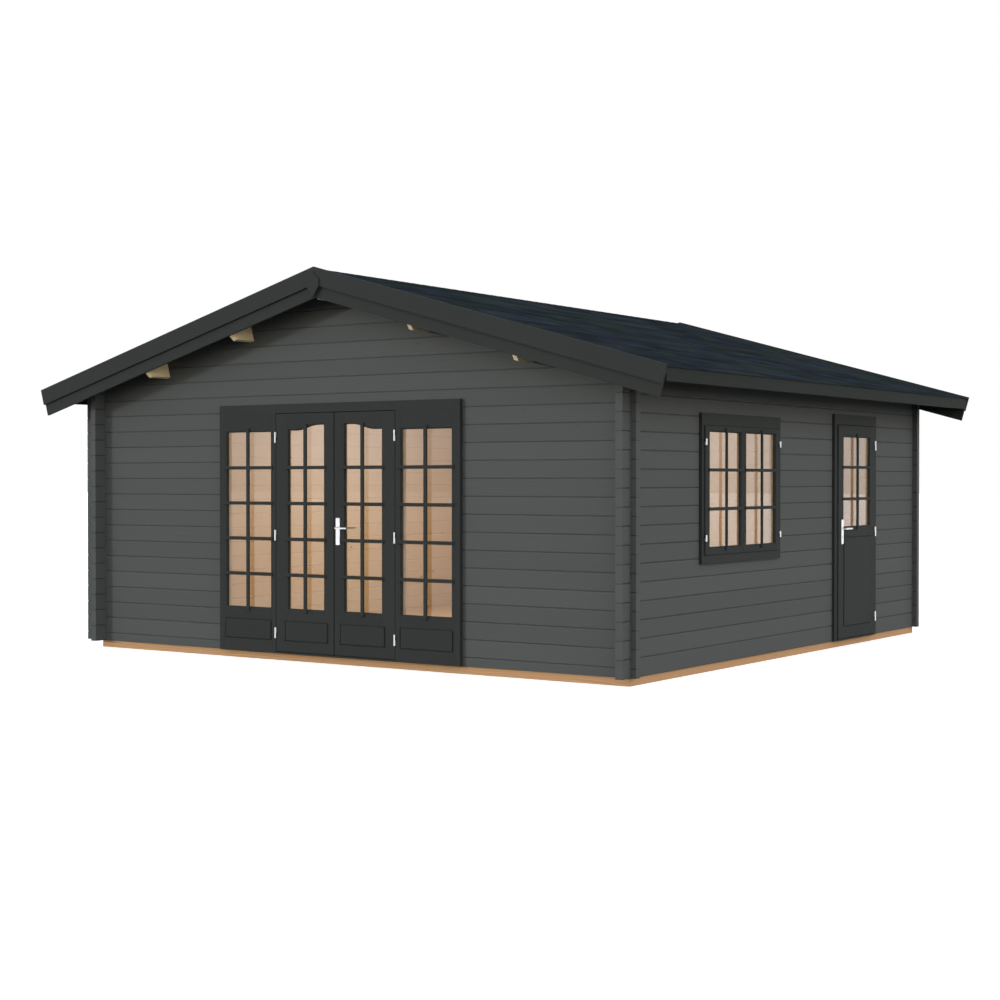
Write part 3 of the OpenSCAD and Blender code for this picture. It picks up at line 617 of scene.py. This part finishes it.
def roof_boards(side, name, node):
    """Boards from the ridge to the eave, side by side, with V-joints on their undersides."""
    lo, hi, reach, thick, under = slope(node)
    piece = Piece(name)
    count = round((hi.y - lo.y) / DECK_BOARD)
    width = (hi.y - lo.y) / count
    c = BOARD_CHAMFER
    for i in range(count):
        y0, y1 = lo.y + i * width, lo.y + (i + 1) * width
        section = [(y0, c), (y0 + c, 0), (y1 - c, 0), (y1, c), (y1, thick), (y0, thick)]
        ends = [[(side * x, y, under - x * TAN + h / COS) for y, h in section] for x in (0.0, reach)]
        grains = [[(x, y, h) for y, h in section] for x in (0.0, reach)]
        prism(piece, *ends[::side], *grains[::side])
    piece.build("cabin", "bare_pine", deck_pine, node)


def shingles(side, name, node):
    """Rows of tabs from the eave up, each row over the one below it, on a plain sheet."""
    lo, hi, reach, _, under = slope(node)
    length = reach / COS
    piece = Piece(name)

    def point(s, h, y):
        """A place s down from the ridge and h above the slope's underside."""
        return (side * (s * COS + h * SIN), y, under - s * SIN + h * COS)

    def sheet(s0, s1, y0, y1, h0, h1, t):
        """A thin slab from s0, with its underside at h0, down to s1, with its underside at h1."""
        section = [(s0, h0), (s1, h1), (s1, h1 + t), (s0, h0 + t)]
        ends = [[point(s, h, y) for s, h in section] for y in (y1, y0)]
        prism(piece, *ends[::side], *ends[::side])

    sheet(0.0, length - UNDERLAY_SHORT, lo.y, hi.y, 0.0, 0.0, UNDERLAY_T)
    for row in range(math.ceil(length / SHINGLE_ROW)):
        s1 = length - row * SHINGLE_ROW
        s0 = max(s1 - SHINGLE_ROW - SHINGLE_LAP, 0.0)
        lift = SHINGLE_T if row else 0.0
        y = lo.y - SHINGLE_TAB * (0.5 if row % 2 else 0.0) - dice.uniform(0, TAB_PLAY)
        while y < hi.y:
            y0, y1 = max(y, lo.y), min(y + SHINGLE_TAB - TAB_SLOT, hi.y)
            if y1 - y0 > TAB_LEAST:
                sheet(s0, s1, y0, y1, UNDERLAY_T, UNDERLAY_T + lift, SHINGLE_T)
            y += SHINGLE_TAB
    piece.build("cabin", "roof_felt", shingle, node)


def ridge_caps():
    """Folded caps over the ridge. The front end of each lies on the next one."""
    lo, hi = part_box("roof_felt_right")
    out, down = CAP_HALF * COS, CAP_HALF * SIN
    piece = Piece("ridge_caps")

    def section(y, lift):
        fold = [(-out, y, hi.z + lift - down), (0, y, hi.z + lift), (out, y, hi.z + lift - down)]
        return fold + [(x, y, z + SHINGLE_T) for x, y, z in reversed(fold)]

    y = hi.y
    while y > lo.y + SHINGLE_LAP:
        near = section(max(y - SHINGLE_ROW - SHINGLE_LAP, lo.y), SHINGLE_T)
        far = section(y, 0.0)
        prism(piece, near, far, near, far)
        y -= SHINGLE_ROW
    piece.build("cabin", "roof_felt", shingle)


roof_boards(1, "roof_planks_right", "roof_boards_right")
roof_boards(-1, "roof_planks_left", "roof_boards_left")
shingles(1, "shingles_right", "roof_felt_right")
shingles(-1, "shingles_left", "roof_felt_left")
ridge_caps()


# ---------------------------------------------------------------- floor
FLOOR_BOARD = 0.121              # width of a floor board
FLOOR_CHAMFER = 0.002            # V-joint between floor boards


def floor_boards():
    """Boards from front to back, side by side, with V-joints on top."""
    lo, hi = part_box("floor")
    piece = Piece("floor_planks")
    count = round((hi.x - lo.x) / FLOOR_BOARD)
    width = (hi.x - lo.x) / count
    c = FLOOR_CHAMFER
    for i in range(count):
        x0, x1 = lo.x + i * width, lo.x + (i + 1) * width
        section = [(x0, lo.z), (x1, lo.z), (x1, hi.z - c), (x1 - c, hi.z), (x0 + c, hi.z), (x0, hi.z - c)]
        ends = [[(x, y, z) for x, z in section] for y in (lo.y, hi.y)]
        grains = [[(y, x, z) for x, z in section] for y in (lo.y, hi.y)]
        prism(piece, *ends, *grains)
    piece.build("cabin", "bare_pine", floor_pine, "floor")


floor_boards()


# ---------------------------------------------------------------- doors, lights and sashes
EDGE = 0.0025                    # softened edges of the bars
SEAM = 0.0008                    # softened edges of the stiles and rails
GLASS_HALF = 0.002               # half the thickness of the glass
BEAD = 0.009                     # width of the glazing beads
BEAD_FLAT = 0.003                # width of their flat part
BEAD_LAP = 0.001                 # how far they reach into the stiles
BEAD_OUTER, BEAD_INNER = 0.005, 0.012    # depth behind the face of their outer and inner edges
COLUMNS = 2                      # panes side by side in a leaf
BAR_T = 0.014                    # thickness of the bars, which lie on the face of the leaf
BAR_LAP = 0.022                  # lap of the bars' ends over the leaf
BAR_SUNK = 0.001                 # the cross bars lie this much deeper than the upright ones
FRONT_BARS = (0.031, 0.027)      # width of the upright bars and height of the cross bars
WINDOW_BARS = (0.024, 0.024)
DOOR_BARS = (0.030, 0.024)
FRONT_ROWS = [0.277 + 0.285 * i for i in range(4)]   # heights of the cross bars above the glass's lower edge
WINDOW_ROWS = [0.294, 0.588]
DOOR_ROWS = [0.246, 0.521]
PANEL_GAP = 0.008                # depth of the groove round a panel
PANEL_GROOVE = 0.007             # width of that groove
PANEL_PROUD = 0.006              # height of the panel's field over the leaf
PANEL_SLOPE = 0.004              # its bevelled edge
PANEL_LOW, PANEL_HIGH = WALL_Z + 0.100, WALL_Z + 0.265
DOOR_PANEL_LOW, DOOR_PANEL_HIGH = WALL_Z + 0.115, WALL_Z + 0.893
LEAF_PANEL = (0.060, 0.507)      # ends of a front leaf's panel, from the middle of the front
LIGHT_PANEL = (0.650, 1.150)     # and of a side light's panel
SWAN_FLAT, SWAN_CURVE = 0.2, 0.6     # parts of the glass's width: level at each end, and curved between
SWAN_STEPS = 20


def soft_steps(edge):
    """Steps through a leaf's thickness, with edges that are softened by this much on both faces."""
    return [(edge, D1), (0, D1 - SEAM), (0, D0 + SEAM), (edge, D0)]


def member(piece, wall, u0, z0, u1, z1, along):
    """A straight stile or rail with softened edges."""
    loft(piece, wall, rectangle(u0, z0, u1, z1), soft_steps(SEAM), along)


def beads(piece, wall, outline):
    """Glazing beads on both sides of the glass."""
    for face, pane, lean in ((D0, DG - GLASS_HALF, 1), (D1, DG + GLASS_HALF, -1)):
        outer, inner = face + lean * BEAD_OUTER, face + lean * BEAD_INNER
        profile = [(-BEAD_LAP, outer), (BEAD_FLAT, outer), (BEAD, inner), (BEAD, pane), (-BEAD_LAP, pane)]
        moulding(piece, wall, outline, profile[::lean])


def bars(piece, wall, opening, top, rows, sizes):
    """A grid of bars on the face of a leaf. top gives the top of the glass at a distance along it."""
    g0, z0, g1, _ = opening
    wide, high = sizes

    def bar(u0, v0, u1, v1, along, sunk):
        face = D0 - BAR_T + sunk
        loft(piece, wall, rectangle(u0, v0, u1, v1), [(0, D0), (0, face + EDGE), (EDGE, face)], along)

    for i in range(1, COLUMNS):
        u = g0 + (g1 - g0) * i / COLUMNS
        bar(u - wide / 2, z0 - BAR_LAP, u + wide / 2, top(u) + BAR_LAP, "z", 0.0)
    for row in rows:
        z = z0 + row
        bar(g0 - BAR_LAP, z - high / 2, g1 + BAR_LAP, z + high / 2, "u", BAR_SUNK)


def raised_panel(piece, wall, u0, z0, u1, z1):
    """A panel in a groove between the rails, with a field that stands out a little on the outside."""
    gap, groove, top = PANEL_GAP, PANEL_GROOVE, PANEL_GROOVE + PANEL_SLOPE
    field = D0 - PANEL_PROUD
    room_side = [(top, D1 - SEAM), (groove, D1 - gap), (0, D1 - gap)]
    outside = [(0, D0 + gap), (groove, D0 + gap), (groove, field + PANEL_SLOPE), (top, field)]
    loft(piece, wall, rectangle(u0, z0, u1, z1), room_side + outside, "u")


def swan_top(g0, g1, top, drop, hand):
    """Gives the height of a leaf's glass top at a distance along it. It drops towards the hand's side."""
    def height(u):
        share = (u - g0) / (g1 - g0) if hand > 0 else (g1 - u) / (g1 - g0)
        turn = min(1.0, max(0.0, (share - SWAN_FLAT) / SWAN_CURVE))
        return top - drop * (1 - math.cos(math.pi * turn)) / 2
    return height


def leaf(piece, wall, box, opening, rows, bar_sizes, panel=None, swan=None):
    """A glazed leaf: stiles, rails, beads, bars and a raised panel. All boxes are u0, z0, u1, z1.

    swan is the drop of a curved glass top and the hand of its leaf.
    """
    u0, z0, u1, z1 = box
    g0, gz0, g1, gz1 = opening
    foot = z0
    if panel:
        p0, pz0, p1, pz1 = panel
        member(piece, wall, u0, z0, u1, pz0, "u")
        member(piece, wall, u0, pz0, p0, pz1, "z")
        member(piece, wall, p1, pz0, u1, pz1, "z")
        raised_panel(piece, wall, *panel)
        foot = pz1
    member(piece, wall, u0, foot, g0, z1, "z")
    member(piece, wall, g1, foot, u1, z1, "z")
    member(piece, wall, g0, foot, g1, gz0, "u")
    drop, hand = swan or (0.0, 1)
    top = swan_top(g0, g1, gz1, drop, hand)
    if swan:
        shares = [SWAN_FLAT + SWAN_CURVE * i / SWAN_STEPS for i in range(SWAN_STEPS + 1)]
        marks = sorted({g0, g1} | {g0 + (g1 - g0) * share for share in shares})
        curve = [(u, top(u)) for u in marks]
        outline = [(g0, gz0), (g1, gz0)] + curve[::-1]
        loft(piece, wall, curve + [(g1, z1), (g0, z1)], soft_steps(SEAM / 2), "u")
    else:
        outline = rectangle(*opening)
        member(piece, wall, g0, gz1, g1, z1, "u")
    beads(piece, wall, outline)
    bars(piece, wall, opening, top, rows, bar_sizes)


def handed(hand, ends):
    """Both ends on the right side of the middle, or mirrored to the left."""
    return sorted((hand * ends[0], hand * ends[1]))


def front_panel(hand, ends):
    """The box of a panel in the front unit."""
    p0, p1 = handed(hand, ends)
    return (p0, PANEL_LOW, p1, PANEL_HIGH)


def front_leaf(name, node, glass_node, body, hand):
    """A front leaf, whose glass top drops towards its outer side by what the CAD glass does."""
    opening = front.glass(glass_node)
    middle_z = (opening[1] + opening[3]) / 2
    low_top = min(v.co.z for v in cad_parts[glass_node].data.vertices if v.co.z > middle_z)
    piece = Piece(name)
    leaf(piece, front, front.box(node), opening, FRONT_ROWS, FRONT_BARS,
         panel=front_panel(hand, LEAF_PANEL), swan=(opening[3] - low_top, hand))
    piece.build(body, "joinery_paint", front_joinery, node)


def fixed_pair(name, wall, node, rows, bar_sizes, material, panel_ends=None):
    """Two fixed leaves in one piece, mirrored about the wall's middle."""
    _, foot, outer, head = wall.box(node)
    piece = Piece(name)
    for hand in (-1, 1):
        u0, u1 = handed(hand, (wall.inner_edge(node), outer))
        panel = front_panel(hand, panel_ends) if panel_ends else None
        leaf(piece, wall, (u0, foot, u1, head), wall.glass("fixed_glass", hand), rows, bar_sizes, panel)
    piece.build("cabin", "joinery_paint", material, node)


def side_door():
    opening = door_wall.glass("side_door_glass")
    piece = Piece("side_door_leaf")
    leaf(piece, door_wall, door_wall.box("side_door"), opening, DOOR_ROWS, DOOR_BARS,
         panel=(opening[0], DOOR_PANEL_LOW, opening[2], DOOR_PANEL_HIGH))
    piece.build("side_leaf", "joinery_paint", right_joinery, "side_door")


def right_wall_at(node):
    """The right wall, with u counted from a node's middle."""
    lo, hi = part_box(node)
    return Wall(False, (lo.y + hi.y) / 2)


front = Wall(True)
window_wall = right_wall_at("window_sashes")
door_wall = right_wall_at("side_door")
front_leaf("front_leaf_right", "front_door_right", "right_door_glass", "right_leaf", 1)
front_leaf("front_leaf_left", "front_door_left", "left_door_glass", "left_leaf", -1)
fixed_pair("side_light_frames", front, "side_lights", FRONT_ROWS, FRONT_BARS, front_joinery, LIGHT_PANEL)
fixed_pair("window_casements", window_wall, "window_sashes", WINDOW_ROWS, WINDOW_BARS, right_joinery)
side_door()


# ---------------------------------------------------------------- handles
PLATE_T = 0.008                  # thickness of a handle's plate
PLATE_CORNER = 0.008             # radius of its corners
PLATE_ROUND = [(0, 0.003), (0.0012, 0.001), (0.003, 0)]  # its rounded edge: inset, and depth under its face
KEY_HALF = 0.0085                # half the width of the key cover
KEY_CORNER = 0.0084
KEY_LOW, KEY_HIGH = 0.092, 0.059 # how far its ends lie below the lever's axis
KEY_ROUND = [(0, 0.002), (0.001, 0.003)]     # its edge: inset, and height over the plate
HUB_U = 0.011                    # from the box's edge to the lever's axis
HUB_R, NECK_R = 0.0095, 0.0078
HUB_START, HUB_END = 0.001, 0.014    # the hub's ends, counted outwards from the leaf's face
HUB_STEP = 0.002                 # length over which it narrows to the neck
ARM_R, ARM_TIP_R, END_R = 0.0084, 0.0070, 0.0045
ARM_DEPTH = 0.009                # from the box's face to the arm's middle line
ARM_BOW = 0.003                  # bow of the arm towards the leaf
ARM_PART = 0.985                 # part of the arm before its rounded end
END_PLAY = 0.0002                # how far the end stays inside the box
NECK_BEND = 0.016                # radius of the bend between neck and arm
BEND_STEPS, ARM_STEPS = 6, 12


def handle_plates(name, wall, node, body, axis_z):
    """A plate with a key cover on each face of a leaf."""
    u0, z0, u1, z1 = wall.box(node)
    middle = (u0 + u1) / 2
    plate = rounded(u0, z0, u1, z1, PLATE_CORNER)
    key = rounded(middle - KEY_HALF, axis_z - KEY_LOW, middle + KEY_HALF, axis_z - KEY_HIGH, KEY_CORNER)
    piece = Piece(name)
    for leaf_face, lean in ((D0, 1), (D1, -1)):
        face = leaf_face - lean * PLATE_T
        plate_steps = [(0, leaf_face)] + [(d, face + lean * depth) for d, depth in PLATE_ROUND]
        key_steps = [(0, leaf_face)] + [(d, face - lean * height) for d, height in KEY_ROUND]
        loft(piece, wall, plate, plate_steps[::lean])
        loft(piece, wall, key, key_steps[::lean])
    piece.build(body, "hinge_steel", steel, node)


def lever_path(u_hub, u_end, face, reach):
    """Places and radii along a lever, as u, d and radius: hub, neck, bend, bowed arm and rounded end."""
    out = 1 if reach > face else -1
    path = [(u_hub, face + out * HUB_START, HUB_R), (u_hub, face + out * HUB_END, HUB_R)]
    path.append((u_hub, face + out * (HUB_END + HUB_STEP), NECK_R))
    path.append((u_hub, reach - out * NECK_BEND, NECK_R))
    for i in range(1, BEND_STEPS + 1):
        share = i / BEND_STEPS
        turn = math.pi / 2 * share
        u = u_hub + NECK_BEND * (1 - math.cos(turn))
        d = reach - out * NECK_BEND * (1 - math.sin(turn))
        path.append((u, d, NECK_R + (ARM_R - NECK_R) * share))
    arm = u_end - u_hub - NECK_BEND
    for i in range(1, ARM_STEPS + 1):
        share = i / ARM_STEPS
        u = u_hub + NECK_BEND + arm * ARM_PART * share
        d = reach - out * ARM_BOW * math.sin(math.pi * share)
        path.append((u, d, ARM_R - (ARM_R - ARM_TIP_R) * share))
    return path + [(u_end - END_PLAY, reach, END_R)]


def lever_pair(name, wall, node, body):
    """The levers on both faces of a leaf, which turn together."""
    lo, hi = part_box(node)
    d_out, d_in = sorted((wall.d(lo), wall.d(hi)))
    z = (lo.z + hi.z) / 2
    piece = Piece(name)
    for face, reach in ((D0, d_out + ARM_DEPTH), (D1, d_in - ARM_DEPTH)):
        path = lever_path(wall.u(lo) + HUB_U, wall.u(hi), face, reach)
        tube(piece, [Vector(wall.place(u, d, z)) for u, d, _ in path], [r for _, _, r in path])
    piece.build(body, "hinge_steel", steel, node, smooth=True)


def handle(side, wall, leaf_body, handle_body):
    lo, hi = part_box(f"{side}_lever")
    handle_plates(f"{side}_plates", wall, f"{side}_handle_plates", leaf_body, (lo.z + hi.z) / 2)
    lever_pair(f"{side}_levers", wall, f"{side}_lever", handle_body)


handle("front", front, "right_leaf", "front_handle")
handle("side", door_wall, "side_leaf", "side_handle")


# ---------------------------------------------------------------- studio, light and camera
STUDIO_HALF = 150.0              # half the width of the studio's floor
DOME_LOW, DOME_MID, DOME_HIGH = 2.37, 1.32, 0.66     # near the horizon, up to about 35 degrees, and above
LOW_TO_MID, MID_TO_HIGH = (0.06, 0.24), (0.45, 0.75)     # where they change, as sines of the elevation
WARM_LIGHT, COOL_LIGHT = (1.14, 1.02, 0.84, 1), (0.93, 0.99, 1.09, 1)    # near the horizon, and above
WARM_TO_COOL = (0.05, 0.45)
FLOOR_BOUNCE = 0.09              # the floor's reflectance for the light that falls on the object
FLOOR_SHOWN = 0.9                # and where it is seen
FLOOR_GLOW = 0.55                # its own light, only where it is seen
WHITE = (1.0, 1.0, 1.0, 1.0)
CAMERA_PLACE = (8.8785, -13.358, 1.452)
CAMERA_TURN, CAMERA_DIP = 34.427, 0.670  # degrees to the left of +Y, and below the horizon
FOCAL_LENGTH, SENSOR = 63.66, 36.0   # mm
CLIP_END = 200.0


def seen_ray(s):
    """1 for what the camera sees, straight or in metal and glass."""
    path = s.node("ShaderNodeLightPath")
    mirrored = s.math("MAXIMUM", path.outputs["Is Glossy Ray"], path.outputs["Is Transmission Ray"])
    return s.math("MAXIMUM", path.outputs["Is Camera Ray"], mirrored)


def studio_floor():
    """A floor that is white where it is seen, and throws little light on the object."""
    mesh = bpy.data.meshes.new("studio_floor")
    corners = rectangle(-STUDIO_HALF, -STUDIO_HALF, STUDIO_HALF, STUDIO_HALF)
    mesh.from_pydata([(x, y, 0) for x, y in corners], [], [[0, 1, 2, 3]])
    ground = bpy.data.objects.new("studio_floor", mesh)
    bpy.context.scene.collection.objects.link(ground)
    s = Shader("studio_floor", Roughness=0.9, Specular_IOR_Level=0.0, Emission_Color=WHITE)
    shown = seen_ray(s)
    unseen, seen = [(level, level, level, 1) for level in (FLOOR_BOUNCE, FLOOR_SHOWN)]
    s.set("Base Color", s.mix(shown, unseen, seen))
    s.set("Emission Strength", s.math("MULTIPLY", shown, FLOOR_GLOW))
    mesh.materials.append(s.material)


def studio_dome():
    """A dome that is white where it is seen. It lights the object more from low down."""
    world = bpy.data.worlds.new("studio")
    bpy.context.scene.world = world
    world.use_nodes = True
    w = Nodes(world.node_tree)
    direction = w.node("ShaderNodeTexCoord").outputs["Generated"]
    height = w.node("ShaderNodeSeparateXYZ", Vector=direction).outputs[2]
    low = w.math("MULTIPLY_ADD", w.smooth(height, *LOW_TO_MID[::-1]), DOME_LOW - DOME_MID, DOME_MID)
    dome = w.math("MULTIPLY_ADD", w.smooth(height, *MID_TO_HIGH), DOME_HIGH - DOME_MID, low)
    shown = seen_ray(w)
    level = w.math("MULTIPLY_ADD", shown, w.math("SUBTRACT", 1.0, dome), dome)
    tint = w.mix(w.smooth(height, *WARM_TO_COOL), WARM_LIGHT, COOL_LIGHT)
    back = w.node("ShaderNodeBackground", Color=w.mix(shown, tint, WHITE), Strength=level)
    w.node("ShaderNodeOutputWorld", Surface=back.outputs[0])


def lamp(name, kind, place, target, power, **shape):
    """A lamp that shines from its place towards the target and isn't seen itself."""
    light = bpy.data.lights.new(name, kind)
    light.energy = power
    for key, value in shape.items():
        setattr(light, key, value)
    obj = bpy.data.objects.new(name, light)
    obj.location = place
    obj.rotation_euler = (Vector(target) - Vector(place)).to_track_quat("-Z", "Y").to_euler()
    bpy.context.scene.collection.objects.link(obj)
    obj.visible_camera = obj.visible_glossy = obj.visible_transmission = False


def add_camera():
    data = bpy.data.cameras.new("camera")
    data.lens, data.sensor_width = FOCAL_LENGTH, SENSOR
    data.clip_end = CLIP_END
    obj = bpy.data.objects.new("camera", data)
    obj.location = CAMERA_PLACE
    obj.rotation_euler = (math.radians(90 - CAMERA_DIP), 0.0, math.radians(CAMERA_TURN))
    bpy.context.scene.collection.objects.link(obj)
    bpy.context.scene.camera = obj


bpy.context.scene.view_settings.view_transform = "Standard"
studio_floor()
studio_dome()
lamp("low_key", "SUN", place=(-8.16, -10.0, 2.06), target=(0, 0, 0), power=1.15, angle=math.radians(5))
lamp("side_fill", "SUN", place=(10.0, -0.6, 2.7), target=(0, 0, 0), power=0.78, angle=math.radians(40))
lamp("room_lamp", "POINT", place=(-0.5, 0.3, 1.9), target=(-0.5, 0.3, 0), power=87, shadow_soft_size=0.6)
add_camera()
